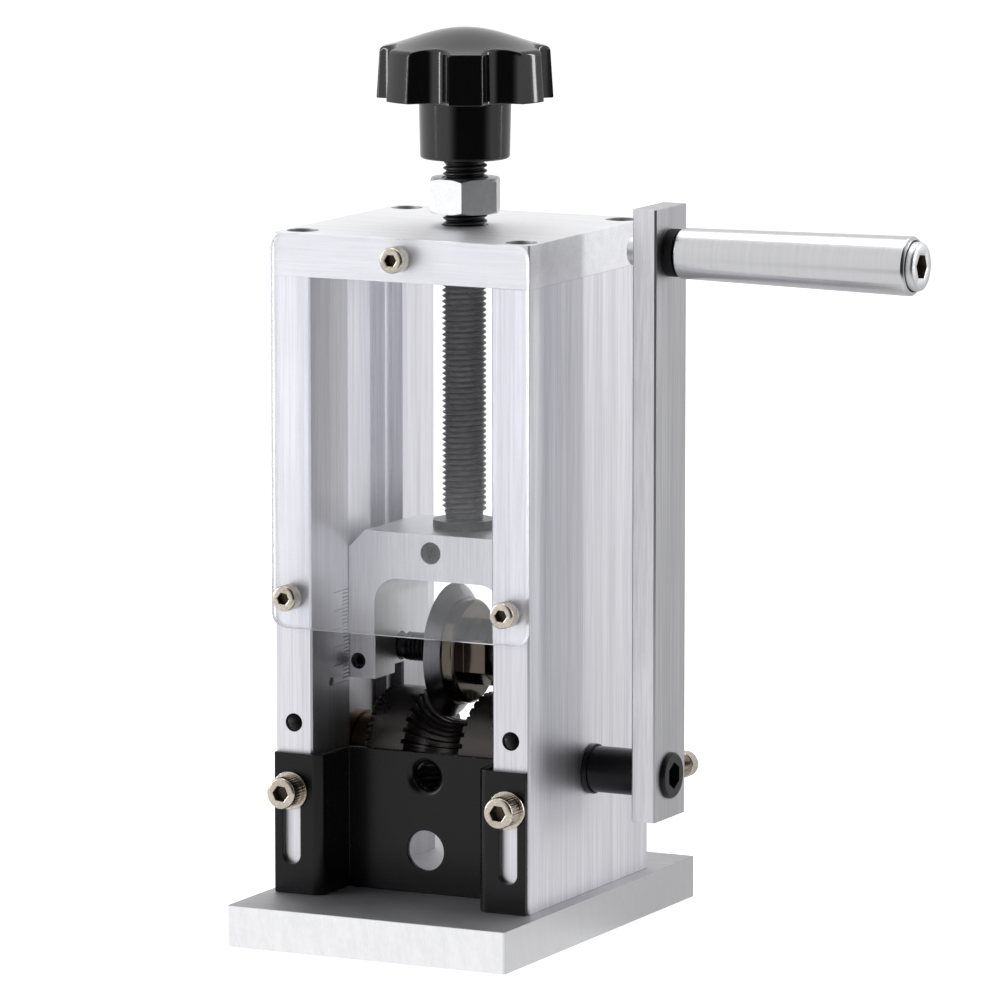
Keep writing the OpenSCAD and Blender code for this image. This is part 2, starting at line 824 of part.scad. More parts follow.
module cutter_hub() {
    color([0.16, 0.15, 0.15]) translate([0, 0, axle_h]) difference() {
        union() {
            bar_x(spigot_r, blade_x0 + seat_fit, blade_x1 + over);
            bar_x(hub_r, blade_x1, flange_x1 - hub_chamfer);
            translate([flange_x1 - hub_chamfer, 0, 0]) rotate([0, 90, 0])
                cylinder(r1 = hub_r, r2 = hub_r - hub_chamfer, h = hub_chamfer);
            translate([flange_x1 - over, 0, 0]) rotate([0, 90, 0])
                hex(hub_af, hub_x1 - flange_x1 + over);
        }
        bar_x(bush_r + run_fit, blade_x0 - over, hub_x1 + over);
        translate([blade_x0, 0, 0]) at_blade_screws()
            bar_x(blade_screw_r, blade_t - over, blade_screw_l + seat_fit);
    }
}

module feed_screw() {
    z0 = block_top + disc_t + 2 * disc_gap;
    turns = floor((knob_z0 - z0) / pitch - 1.5);
    z1 = z0 + thread_length(pitch, turns);
    core = screw_r - thread_d - slide_fit;
    color([0.13, 0.13, 0.14]) {
        translate([0, 0, block_top - neck_h - tip_h]) cylinder(r = tip_r, h = tip_h);
        translate([0, 0, block_top - neck_h - tip_h / 2]) cylinder(r = neck_r, h = neck_h + tip_h);
        translate([0, 0, block_top]) cylinder(r = neck_r, h = z0 - block_top + pitch);
        translate([0, 0, z0]) thread(screw_r, thread_d, pitch, turns);
        translate([0, 0, z1 - pitch]) cylinder(r = core, h = knob_z0 + screw_in_knob - z1 + pitch);
    }
}

module screw_collar() {
    color([0.13, 0.13, 0.14]) translate([0, 0, block_top + disc_gap])
        ring(disc_r, neck_r, disc_t);
}

// height of the dome over the grip at radius r
function dome_at(r) = dome_h * pow(1 - pow(r / (knob_r + draft), 2), dome_power);
module star_knob() {
    color([0.07, 0.07, 0.075]) difference() {
        rotate_extrude() polygon(concat(
            [[0, knob_z0], [knob_hub_r - knob_edge, knob_z0], [knob_hub_r, knob_z0 + knob_edge],
                [knob_hub_r, grip_z0], [knob_r, grip_z0], [knob_r - draft, grip_z1]],
            [for (i = [1:dome_steps - 1]) let (r = (knob_r - draft) * (1 - i / dome_steps))
                [r, grip_z1 + dome_at(r)]],
            [[0, grip_z1 + dome_h]]));
        for (i = [0:lobes - 1]) rotate([0, 0, 360 / lobes * (i + 0.5) - 90 + knob_turn])
            translate([knob_r * scallop_floor + scallop_r, 0, grip_z0 - over])
                cylinder(r = scallop_r, h = grip_h + dome_h + 2 * over);
        translate([0, 0, knob_z0 - over]) cylinder(r = insert_r, h = insert_h + over);
    }
}

module knob_insert() {
    core = screw_r - thread_d - slide_fit;
    color([0.7, 0.6, 0.35]) translate([0, 0, knob_z0 + seat_fit]) difference() {
        cylinder(r = insert_r, h = insert_h - seat_fit);
        translate([0, 0, -over]) cylinder(r = core, h = screw_in_knob - seat_fit + over);
    }
}

module lock_nut() {
    color([0.75, 0.75, 0.76]) translate([0, 0, nut_z0]) rotate([0, 0, nut_turn])
        hex_nut(nut_af, nut_h, screw_bore_r, nut_chamfer);
}

module drive_shaft() {
    end = arm_x1 + shaft_proud;
    color([0.12, 0.12, 0.13]) translate([0, 0, shaft_h]) difference() {
        union() {
            bar_x(shaft_r, -body_half - shaft_end_left, end - edge_break);
            translate([end - edge_break, 0, 0]) rotate([0, 90, 0])
                cylinder(r1 = shaft_r, r2 = shaft_r - edge_break, h = edge_break);
        }
        translate([end - drive_depth, 0, 0]) rotate([0, 90, 0]) hex(drive_af, drive_depth + over);
        translate([-body_half - clip_t - free_fit, 0, 0]) rotate([0, 90, 0])
            ring(shaft_r + over, clip_groove_r, clip_t + slide_fit);
        for (s = [-1, 1]) translate([s * roller_screw_x, 0, shaft_r - roller_flat])
            translate([-roller_screw_r - slide_fit, -shaft_r, 0])
                cube([2 * (roller_screw_r + slide_fit), 2 * shaft_r, shaft_r]);
    }
}

module shaft_clip() {
    color([0.2, 0.2, 0.21]) translate([-body_half - clip_t - free_fit + seat_fit, 0, shaft_h])
        rotate([0, 90, 0]) ring(clip_r, clip_groove_r + seat_fit, clip_t);
}

module shaft_collar() {
    color([0.12, 0.12, 0.13]) translate([body_half + seat_fit, 0, shaft_h]) rotate([0, 90, 0])
        ring(shaft_collar_r, shaft_r, shaft_collar_l);
}

module flanged_bush() {
    translate([-body_half, 0, shaft_h]) rotate([0, 90, 0]) difference() {
        union() {
            translate([0, 0, bush_lip]) cylinder(r = barrel_r, h = body_half - floor_half - bush_lip);
            translate([0, 0, body_half - floor_half]) cylinder(r = flange_r, h = flange_t);
        }
        translate([0, 0, -over])
            cylinder(r = shaft_r + run_fit, h = body_half - floor_half + flange_t + 2 * over);
    }
}

module left_bush() {
    color([0.66, 0.5, 0.28]) flanged_bush();
}

module right_bush() {
    color([0.66, 0.5, 0.28]) mirror([1, 0, 0]) flanged_bush();
}

module thrust_ring() {
    translate([-thrust_x0, 0, shaft_h]) rotate([0, 90, 0])
        ring(thrust_r, shaft_r, thrust_x0 - thrust_x1);
}

module left_thrust_ring() {
    color([0.6, 0.56, 0.45]) thrust_ring();
}

module right_thrust_ring() {
    color([0.6, 0.56, 0.45]) mirror([1, 0, 0]) thrust_ring();
}

module feed_roller() {
    color([0.12, 0.12, 0.12]) translate([0, 0, shaft_h]) difference() {
        bar_x(roller_r, -roller_half, roller_half);
        bar_x(shaft_r, -roller_half - over, roller_half + over);
        translate([groove_x, 0, 0]) rotate([0, 90, 0]) rotate_extrude()
            translate([round_c, 0]) circle(r = round_r);
        for (i = [0:teeth - 1]) rotate([360 / teeth * i, 0, 0])
            translate([groove_x, tooth_slot_w / 2, round_c]) rotate([90, 0, 0])
                cylinder(r = round_r + tooth_slot_d, h = tooth_slot_w);
        for (s = [-1, 1], i = [0:rim_notches - 1]) rotate([360 / rim_notches * i, 0, 0])
            translate([s * roller_half, 0, roller_r]) rotate([45, 0, 0])
                cube([2 * rim_notch, rim_notch, rim_notch], center = true);
        at_roller_screws() cylinder(r = roller_screw_r, h = roller_r);
    }
}

module at_roller_screws() {
    for (s = [-1, 1]) translate([s * roller_screw_x, 0, shaft_r - roller_flat]) children();
}

module roller_set_screws() {
    color([0.2, 0.2, 0.21]) translate([0, 0, shaft_h]) at_roller_screws()
        set_screw(roller_screw_r, roller_screw_l, roller_screw_af);
}

module crank_arm() {
    color([0.75, 0.75, 0.77]) difference() {
        translate([(arm_x0 + arm_x1) / 2, 0, shaft_h - arm_low])
            plate(arm_t, arm_w, arm_low + crank_r + arm_high);
        translate([0, 0, shaft_h]) bar_x(shaft_r, arm_x0 - over, arm_x1 + over);
        translate([0, 0, handle_h]) bar_x(bolt_r, arm_x0 - over, arm_x1 + over);
        translate([(arm_x0 + arm_x1) / 2, 0, shaft_h]) rotate([-90, 0, 0])
            cylinder(r = m4_r, h = arm_w);
    }
}

module arm_clamp_screw() {
    color([0.75, 0.72, 0.66]) translate([(arm_x0 + arm_x1) / 2, arm_w / 2 + clamp_screw_gap, shaft_h])
        rotate([-90, 0, 0]) m4_screw(arm_w / 2 + clamp_screw_gap - shaft_r - seat_fit);
}

module handle_spacer() {
    color([0.08, 0.08, 0.085]) translate([arm_x1, 0, handle_h]) rotate([0, 90, 0])
        ring(spacer_r, bolt_r + run_fit, handle_spacer_t);
}

module handle_sleeve() {
    color([0.8, 0.8, 0.82]) translate([sleeve_x0, 0, handle_h]) rotate([0, 90, 0])
        rotate_extrude() polygon([
            [bolt_r + run_fit, 0], [sleeve_r0 - sleeve_edge, 0], [sleeve_r0, sleeve_edge],
            [sleeve_r1, sleeve_l - sleeve_edge], [sleeve_r1 - sleeve_edge, sleeve_l],
            [bore_r, sleeve_l], [bore_r, sleeve_l - bore_d], [bolt_r + run_fit, sleeve_l - bore_d]]);
}

module handle_bolt() {
    head_x = sleeve_x1 - bore_d + slide_fit;
    start = arm_x0 - bolt_past;
    color([0.72, 0.72, 0.73]) translate([0, 0, handle_h]) difference() {
        union() {
            bar_x(bolt_r, start + bolt_chamfer, head_x + over);
            translate([start, 0, 0]) rotate([0, 90, 0])
                cylinder(r1 = bolt_r - bolt_chamfer, r2 = bolt_r, h = bolt_chamfer);
            bar_x(bolt_head_r, head_x, head_x + bolt_head_h - bolt_chamfer);
            translate([head_x + bolt_head_h - bolt_chamfer, 0, 0]) rotate([0, 90, 0])
                cylinder(r1 = bolt_head_r, r2 = bolt_head_r - bolt_chamfer, h = bolt_chamfer);
        }
        translate([head_x + bolt_head_h - bolt_socket, 0, 0]) rotate([0, 90, 0])
            hex(bolt_af, bolt_socket + over);
    }
}

base_plate();
base_screws();
left_side_plate();
right_side_plate();
top_plate();
top_plate_screws();
guard_panel();
guard_screws();
guide_bracket();
guide_screws();
guide_washers();
carriage_block();
screw_retainer();
cutter_axle();
axle_set_screws();
axle_lock_nut();
cutter_bush();
cutter_collar();
cutter_blade();
cutter_hub();
blade_screws();
feed_screw();
screw_collar();
star_knob();
knob_insert();
lock_nut();
drive_shaft();
shaft_collar();
shaft_clip();
left_bush();
right_bush();
left_thrust_ring();
right_thrust_ring();
feed_roller();
roller_set_screws();
crank_arm();
arm_clamp_screw();
handle_spacer();
handle_sleeve();
handle_bolt();
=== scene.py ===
"""Dresses the hand crank wire stripper: finishes, fine pieces, studio and camera.

Sizes are in millimetres at rest. X runs from the left side plate to the crank, Y from the front to
the back, and Z up. Colours are linear.
"""
import json
import math

import bmesh
import bpy
import numpy as np
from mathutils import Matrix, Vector

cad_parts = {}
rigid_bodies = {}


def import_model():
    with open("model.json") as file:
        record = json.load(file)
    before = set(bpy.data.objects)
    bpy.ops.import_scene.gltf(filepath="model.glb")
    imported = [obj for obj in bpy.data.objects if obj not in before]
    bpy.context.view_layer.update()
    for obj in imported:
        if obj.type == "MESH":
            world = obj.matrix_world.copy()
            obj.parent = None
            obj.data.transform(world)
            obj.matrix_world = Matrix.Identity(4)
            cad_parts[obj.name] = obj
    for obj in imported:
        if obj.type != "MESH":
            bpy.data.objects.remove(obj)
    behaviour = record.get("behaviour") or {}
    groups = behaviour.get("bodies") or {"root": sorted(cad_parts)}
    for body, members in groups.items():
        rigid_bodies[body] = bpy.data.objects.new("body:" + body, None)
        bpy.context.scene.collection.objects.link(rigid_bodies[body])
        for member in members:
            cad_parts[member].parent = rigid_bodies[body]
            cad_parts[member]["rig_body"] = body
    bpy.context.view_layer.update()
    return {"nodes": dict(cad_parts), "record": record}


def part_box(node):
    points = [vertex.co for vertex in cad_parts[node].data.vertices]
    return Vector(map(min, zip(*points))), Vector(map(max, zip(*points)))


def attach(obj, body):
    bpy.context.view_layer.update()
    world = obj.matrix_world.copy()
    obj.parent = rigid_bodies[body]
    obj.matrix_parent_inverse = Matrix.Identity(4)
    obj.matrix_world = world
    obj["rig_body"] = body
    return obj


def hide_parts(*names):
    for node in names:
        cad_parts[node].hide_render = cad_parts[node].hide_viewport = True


MM = 0.001
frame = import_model()


# Places on the part, from its CAD pieces
def box(node):
    """Lowest and highest corner of a CAD piece, in millimetres."""
    return [[round(share / MM, 2) for share in corner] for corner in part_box(node)]


def middle(node):
    """Middle of a CAD piece's box."""
    return [(low + high) / 2 for low, high in zip(*box(node))]


SHAFT_Z, AXLE_Z, HANDLE_Z = (middle(node)[2] for node in ("feed_roller", "cutter_blade", "handle_spacer"))
COLUMN_X = middle("right_side_plate")[0]
INNER_X, FRONT_Y = box("right_side_plate")[0][:2]
BASE_RIGHT, BASE_TOP = box("base_plate")[1][::2]
ARM_LEFT, ARM_FRONT = box("crank_arm")[0][:2]


# Shader trees
class Value:
    """A socket of a tree. Arithmetic on it adds Math nodes."""

    def __init__(self, tree, socket):
        self.tree, self.socket = tree, socket

    def _math(self, operation, *inputs):
        return self.tree.add("ShaderNodeMath", {"operation": operation}, dict(enumerate(inputs)))

    def __add__(self, other):
        return self._math("ADD", self, other)

    def __sub__(self, other):
        return self._math("SUBTRACT", self, other)

    def __rsub__(self, other):
        return self._math("SUBTRACT", other, self)

    def __mul__(self, other):
        return self._math("MULTIPLY", self, other)

    def __pow__(self, other):
        return self._math("POWER", self, other)

    __radd__ = __add__
    __rmul__ = __mul__

    def larger(self, other):
        """The larger of two values."""
        return self._math("MAXIMUM", self, other)

    def between(self, low, high):
        """0 below low, 1 above high and smooth in between."""
        return self.tree.add("ShaderNodeMapRange", {"interpolation_type": "SMOOTHSTEP", "clamp": True},
                             {"Value": self, "From Min": low, "From Max": high})

    def spread(self):
        """Stretches a noise, which keeps near 0.5, over 0 to 1."""
        return self.between(0.3, 0.7)


class Tree:
    """The node tree of a material or world."""

    COLOUR_A, COLOUR_B, COLOUR_RESULT = 6, 7, 2

    def __init__(self, owner):
        owner.use_nodes = True
        self.nodes, self.links = owner.node_tree.nodes, owner.node_tree.links
        self.nodes.clear()

    def add(self, kind, settings=None, inputs=None, out=0):
        """Adds a node: its settings, then the values or links of its sockets. Gives its output out."""
        node = self.nodes.new(kind)
        for key, value in (settings or {}).items():
            setattr(node, key, value)
        for key, value in (inputs or {}).items():
            if isinstance(value, Value):
                self.links.new(value.socket, node.inputs[key])
            else:
                node.inputs[key].default_value = value
        return Value(self, node.outputs[out]) if node.outputs else None

    def vector(self, operation, *inputs, out="Vector"):
        return self.add("ShaderNodeVectorMath", {"operation": operation}, dict(enumerate(inputs)), out)

    def place(self, stretch=(1, 1, 1)):
        """Position on the part in millimetres at rest, stretched along each axis."""
        at = self.add("ShaderNodeTexCoord", out="Object")
        return self.vector("MULTIPLY", at, [share / MM for share in stretch])

    def axes(self, vector):
        return [self.add("ShaderNodeSeparateXYZ", None, {0: vector}, i) for i in range(3)]

    def joined(self, x, y, z=0.0):
        return self.add("ShaderNodeCombineXYZ", None, {0: x, 1: y, 2: z})

    def noise(self, vector, scale, detail=3.0, rough=0.6):
        return self.add("ShaderNodeTexNoise", None, {
            "Vector": vector, "Scale": scale, "Detail": detail, "Roughness": rough})

    def blend(self, factor, low, high):
        """Mixes two colours, each a colour's numbers or a socket."""
        low, high = (side if isinstance(side, Value) else (*side, 1) for side in (low, high))
        return self.add("ShaderNodeMix", {"data_type": "RGBA"}, {
            "Factor": factor, self.COLOUR_A: low, self.COLOUR_B: high}, self.COLOUR_RESULT)

    def bump(self, height, strength, depth):
        return self.add("ShaderNodeBump", None, {
            "Strength": strength, "Distance": depth * MM, "Height": height})

    def mix(self, factor, first, second):
        """Mixes two shaders."""
        return self.add("ShaderNodeMixShader", None, {0: factor, 1: first, 2: second})


# Finishes: each gives the inputs of a Principled shader
def brushed(low, high, rough, grain, streak):
    """Brushed or planed aluminium. grain stretches the streaks: small along the brushing."""
    fine_share, wider, longer, cloud_scale = 0.6, 7, 3, 0.045
    gloss, smudge, strength, depth = 0.14, 0.06, 0.35, 0.012
    scratch, scratch_gloss, scratch_height = (0.63, 0.78), 0.05, 0.2

    def build(t):
        fine = t.noise(t.place(grain), streak)
        wide = t.noise(t.place(grain), streak / wider, 2.0, 0.5)
        cloud = t.noise(t.place(), cloud_scale)
        mark = t.noise(t.place([share * longer for share in grain]), streak, 1.0, 0.5).between(*scratch)
        lines = fine * fine_share + wide * (1 - fine_share)
        return {"Base Color": t.blend(lines.spread(), low, high), "Metallic": 1.0,
                "Roughness": rough + (lines - 0.5) * gloss + (cloud - 0.5) * smudge + mark * scratch_gloss,
                "Normal": t.bump(lines + mark * scratch_height, strength, depth)}
    return build


def side_plate(t):
    """Brushed plate: painted shade darkens its inner face behind the front edge, darkest towards the
    bottom, and the engraved scale is bright, dimmer in that painted shade.
    """
    made = brushed((0.65, 0.645, 0.69), (0.85, 0.845, 0.885), rough=0.4, grain=(1, 1, 0.018), streak=1.5)(t)
    outer, front, strip, groove = (34, 36), (0.4, 1.5), (4, 18), (21, 23)
    strip_shade, groove_shade, shade_fade_z, shade_colour_z = 0.12, 0.5, (60, 90), (30, 90)
    line_top, line_floor = (0.04, 0.1), (0.8, 0.9)
    scale_y, scale_low, scale_high = (1, 1.5), (54, 54.5), (81.5, 82)
    x, y, z = t.axes(t.place())
    behind = y - FRONT_Y
    below = -INNER_X - x
    inside = (1 - (x * x).between(outer[0] ** 2, outer[1] ** 2)) * behind.between(*front)
    # Painted shade: a strip behind the front edge and the groove strip darken, fading out above the roller;
    # the engraved lines dim in it too.
    depth = behind.between(*strip) * strip_shade + behind.between(*groove) * groove_shade
    painted_shade = inside * depth * (1 - z.between(*shade_fade_z))
    line = below.between(*line_top) * (1 - below.between(*line_floor)) * behind.between(*scale_y)
    line *= z.between(*scale_low) * (1 - z.between(*scale_high))
    painted_shade_colour = t.blend(z.between(*shade_colour_z), (0.09, 0.086, 0.096), (0.25, 0.245, 0.26))
    line_colour = t.blend(painted_shade, (0.9, 0.9, 0.92), (0.8, 0.8, 0.82))
    made["Base Color"] = t.blend(line, t.blend(painted_shade, made["Base Color"], painted_shade_colour), line_colour)
    return made


def arm_bar(t):
    """Flat bar: brushed grey broad faces; its front, back and inner faces are painted brighter, as painted
    light, with sawn streaks of their own.
    """
    made = brushed((0.41, 0.41, 0.435), (0.58, 0.58, 0.60), rough=0.34, grain=(1, 1, 0.012), streak=1.6)(t)
    lit_face_from, lit_face_to, face = ARM_FRONT + 0.15, ARM_FRONT + 0.03, (ARM_LEFT + 0.1, ARM_LEFT + 0.3)
    x, y, z = t.axes(t.place())
    # Painted light: the front, back and inner faces take a brighter colour than the broad faces.
    edge = (y * y).between(lit_face_from ** 2, lit_face_to ** 2) + (1 - x.between(*face))
    sawn = t.noise(t.place((1, 1, 0.05)), 1.5, rough=0.5).spread()
    bright = t.blend(sawn, (0.72, 0.72, 0.76), (0.84, 0.84, 0.87))
    made["Base Color"] = t.blend(edge, made["Base Color"], bright)
    return made


def milled_base(t):
    """Milled plate: bright on the edges, where the saw left slanting strokes; the right face is painted a
    mid grey as painted shade, and the top a dull darker grey as painted shade with a painted reflection of
    the dark guide.
    """
    slant_x, slant_y, along = 0.22, 0.2, 0.07
    fine_scale, wide_scale, grain_scale, cloud_scale = 2.6, 0.45, 2.2, 0.04
    fine_share, grain_share, near, at = 0.55, 0.6, 0.2, 0.05
    edge_rough, stroke_gloss, top_rougher, cloud_gloss = 0.36, 0.16, 0.2, 0.1
    x, y, z = t.axes(t.place())
    stroke = t.joined(x + z * slant_x, y + z * slant_y, z * along)
    fine, wide = t.noise(stroke, fine_scale), t.noise(stroke, wide_scale, 2.0, 0.5)
    strokes = fine * fine_share + wide * (1 - fine_share)
    grain = t.noise(t.place((0.05, 1, 1)), grain_scale)
    cloud = t.noise(t.place(), cloud_scale)
    top = z.between(BASE_TOP - near, BASE_TOP - at)
    right = x.between(BASE_RIGHT - near, BASE_RIGHT - at)
    edge_colour = t.blend(strokes.spread(), (0.86, 0.86, 0.885), (0.95, 0.95, 0.97))
    # Painted shade: the right face is a darker copy of the edges, and the top darker still, with a painted
    # reflection of the dark guide above it.
    shaded_right_colour = t.blend(strokes, (0.52, 0.52, 0.54), (0.62, 0.62, 0.64))
    dull = (grain * grain_share + cloud * (1 - grain_share)).spread()
    shaded_top_colour = t.blend(dull, (0.38, 0.375, 0.395), (0.48, 0.475, 0.495))
    edge_colour = t.blend(right, edge_colour, shaded_right_colour)
    rough = edge_rough + (strokes - 0.5) * stroke_gloss + top * top_rougher + (cloud - 0.5) * cloud_gloss
    return {"Base Color": t.blend(top, edge_colour, shaded_top_colour), "Metallic": 1.0, "Roughness": rough,
            "Normal": t.bump(strokes * (1 - top) + grain * top, strength=0.35, depth=0.014)}


def plain(colour, metallic, rough, grain, uneven, depth, specular=0.5, worn=None):
    """A metal or plastic with a fine grain and a slow change of gloss. worn is its colour where rubbed."""
    darker, cloud_scale, strength = 0.86, 0.12, 0.3

    def build(t):
        fine = t.noise(t.place(), 1 / grain)
        cloud = t.noise(t.place(), cloud_scale)
        low = [share * darker for share in colour]
        base = t.blend((fine * 0.5 + cloud * 0.5).spread(), low, worn or colour)
        return {"Base Color": base, "Metallic": metallic, "Specular IOR Level": specular,
                "Roughness": rough + (cloud - 0.5) * (uneven * 2) + (fine - 0.5) * uneven,
                "Normal": t.bump(fine, strength, depth)}
    return build


def turned(colour, rough, height, rings, depth=0.006, even=0.82):
    """Turned or ground metal: rings round an axis along X at that height. even is the darkest share."""
    cloud_scale, ring_gloss, cloud_gloss, strength = 0.1, 0.12, 0.08, 0.3

    def build(t):
        x, y, z = t.axes(t.place())
        up = z - height
        lines = t.noise(t.joined(x, (y * y + up * up) ** 0.5), rings, 4.0, 0.7)
        cloud = t.noise(t.place(), cloud_scale)
        low = [share * even for share in colour]
        return {"Base Color": t.blend(lines.spread(), low, colour), "Metallic": 1.0,
                "Roughness": rough + (lines - 0.5) * ring_gloss + (cloud - 0.5) * cloud_gloss,
                "Normal": t.bump(lines, strength, depth)}
    return build


BLACK_STEEL = plain((0.007, 0.007, 0.008), metallic=0.2, rough=0.32, grain=0.5, uneven=0.1, depth=0.006,
                    specular=0.3)


def bright_crest_thread(t):
    """Blackened steel whose thread crests are lighter and more metallic in patches, a little lighter
    towards the bottom.
    """
    made = BLACK_STEEL(t)
    crest, crest_least, patch_scale, length = (5.35, 5.9), 0.35, 0.4, (90, 230)
    black_metallic, crest_metallic = 0.2, 0.8
    x, y, z = t.axes(t.place())
    patch = t.noise(t.place(), patch_scale, rough=0.5).spread()
    crest_lift = ((x * x + y * y) ** 0.5).between(*crest) * (crest_least + patch * (1 - crest_least))
    bright = t.blend(z.between(*length), (0.12, 0.116, 0.12), (0.1, 0.097, 0.1))
    made["Base Color"] = t.blend(crest_lift, made["Base Color"], bright)
    made["Metallic"] = black_metallic + crest_lift * (crest_metallic - black_metallic)
    return made


def clear_sheet():
    """Clear acrylic under a thin milky film with fine dust: the film, growing towards the bottom, is a
    painted reflection of the floor, and the dust is the sheet's own.
    """
    reflection_z, film, dust_film, cloud_film, least_film = (90, 150), 0.062, 0.02, 0.02, 0.006
    dust_scale, dust_seen, cloud_scale = 0.9, (0.66, 0.8), 0.03
    clear_rough, dust_rough, film_rough, film_uneven = 0.012, 0.05, 0.8, 0.2
    material = bpy.data.materials.new("clear_acrylic")
    t = Tree(material)
    height = t.axes(t.place())[2]
    dust = t.noise(t.place(), dust_scale, 4.0, 0.7).between(*dust_seen)
    cloud = t.noise(t.place(), cloud_scale, 2.0, 0.5)
    sheet = t.add("ShaderNodeBsdfPrincipled", None, {
        "Base Color": (0.985, 0.99, 1.0, 1), "Roughness": clear_rough + dust * dust_rough, "IOR": 1.3,
        "Transmission Weight": 1.0, "Specular IOR Level": 0.1})
    haze = t.add("ShaderNodeBsdfPrincipled", None, {
        "Base Color": (0.93, 0.93, 0.95, 1), "Roughness": film_rough + (cloud - 0.5) * film_uneven,
        "Specular IOR Level": 0.0})
    # Painted reflection: the film thickens towards the bottom as the floor's reflection would.
    dust_and_reflection_film = least_film + (1 - height.between(*reflection_z)) * film
    dust_and_reflection_film += dust * dust_film + (cloud - 0.5) * cloud_film
    t.add("ShaderNodeOutputMaterial", None, {"Surface": t.mix(dust_and_reflection_film, sheet, haze)})
    return material


def finish(name, build):
    """A material from a finish."""
    material = bpy.data.materials.new(name)
    tree = Tree(material)
    shader = tree.add("ShaderNodeBsdfPrincipled", None, build(tree))
    tree.add("ShaderNodeOutputMaterial", None, {"Surface": shader})
    return material


FINISHES = {
    "aluminium_plate": side_plate,
    "aluminium_top": brushed((0.76, 0.76, 0.785), (0.86, 0.86, 0.885), rough=0.46,
                             grain=(0.03, 1, 1), streak=2.2),
    "aluminium_base": milled_base,
    "aluminium_block": brushed((0.54, 0.54, 0.56), (0.68, 0.68, 0.70), rough=0.38,
                               grain=(1, 1, 0.03), streak=2.0),
    "aluminium_arm": arm_bar,
    "black_sheet": plain((0.003, 0.003, 0.0035), metallic=0.0, rough=0.26, grain=0.35, uneven=0.05,
                         depth=0.006, specular=0.28),
    "black_steel": BLACK_STEEL,
    "screw_steel": bright_crest_thread,
    "hub_steel": plain((0.115, 0.10, 0.082), metallic=1.0, rough=0.16, grain=0.5, uneven=0.06, depth=0.004),
    # Darker than the plates: painted shade inside the tapped holes.
    "shaded_tapped_hole": plain((0.36, 0.36, 0.37), metallic=1.0, rough=0.3, grain=0.5, uneven=0.06, depth=0.004),
    "roller_steel": plain((0.065, 0.058, 0.056), metallic=0.8, rough=0.3, grain=0.6, uneven=0.1,
                          depth=0.006),
    "blade_steel": turned((0.23, 0.23, 0.24), rough=0.22, height=AXLE_Z, rings=2.6),
    "nickel_steel": plain((0.50, 0.44, 0.36), metallic=1.0, rough=0.2, grain=0.5, uneven=0.08, depth=0.005,
                          worn=(0.70, 0.65, 0.57)),
    # Oily brown made darker as painted shade inside the screws' sockets.
    "oily_shaded_socket": plain((0.10, 0.078, 0.05), metallic=0.7, rough=0.4, grain=0.5, uneven=0.08,
                          depth=0.005),
    "zinc_steel": plain((0.72, 0.725, 0.74), metallic=1.0, rough=0.42, grain=0.8, uneven=0.05, depth=0.003),
    # Darker than the bronze's own colour: painted shade, for a ring that sits in shade.
    "bronze": turned((0.20, 0.14, 0.08), rough=0.34, height=SHAFT_Z, rings=2.0),
    "turned_aluminium": turned((0.62, 0.62, 0.64), rough=0.2, height=HANDLE_Z, rings=0.9,
                               depth=0.002, even=0.95),
    "knob_plastic": plain((0.003, 0.003, 0.0035), metallic=0.0, rough=0.1, grain=1.2, uneven=0.03,
                          depth=0.002, specular=0.62),
    "spacer_plastic": plain((0.004, 0.004, 0.004), metallic=0.0, rough=0.5, grain=0.5, uneven=0.08,
                            depth=0.008, specular=0.2),
}
MATERIALS = {name: finish(name, build) for name, build in FINISHES.items()}
MATERIALS["clear_acrylic"] = clear_sheet()
SLOT_OF = {"aluminium_top": "aluminium_plate", "aluminium_arm": "aluminium_plate",
           "hub_steel": "roller_steel", "screw_steel": "black_steel"}
NODE_FINISH = {row["node"]: row["material_slot"] for row in frame["record"]["subparts"]}
NODE_FINISH["top_plate"] = "aluminium_top"
NODE_FINISH["crank_arm"] = "aluminium_arm"
NODE_FINISH["cutter_hub"] = "hub_steel"
NODE_FINISH["feed_screw"] = "screw_steel"
BODY_OF = {node: thing["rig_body"] for node, thing in frame["nodes"].items()}

for node, thing in frame["nodes"].items():
    thing.data.materials.clear()
    thing.data.materials.append(MATERIALS[NODE_FINISH[node]])
    SLOT_OF.get(NODE_FINISH[node], NODE_FINISH[node])


# Tools for the pieces, which are drawn along Z and then turned
WELD = 0.002
SECOND_FINISH = 1


def along_x(points):
    return points[..., [2, 0, 1]]


def to_front(points):
    return points[..., [0, 2, 1]] * (1, -1, 1)


def to_back(points):
    return points[..., [0, 2, 1]] * (1, 1, -1)


def circle(count, whole=False):
    """Angles of a ring's points; whole repeats the first at the end."""
    return np.linspace(0, 2 * math.pi, count + 1)[:None if whole else count]


def ring(angles, radius, height):
    """Points of a ring: radius and height may change round it."""
    return np.stack([np.cos(angles) * radius, np.sin(angles) * radius, angles * 0 + height], -1)


def skin(work, rows, wrap=True, caps=True, second=None):
    """Adds a skin over rows of points to a bmesh. From row second on it has the second finish."""
    count = len(rows[0])
    second = len(rows) + 1 if second is None else second
    grid = [[work.verts.new([share * MM for share in point]) for point in row] for row in rows]
    for j, (low, high) in enumerate(zip(grid, grid[1:])):
        for i in range(count if wrap else count - 1):
            k = (i + 1) % count
            face = work.faces.new((low[i], low[k], high[k], high[i]))
            face.material_index = SECOND_FINISH if j >= second else 0
    if caps:
        work.faces.new(grid[0][::-1])
        work.faces.new(grid[-1]).material_index = SECOND_FINISH if len(rows) > second else 0
    return grid


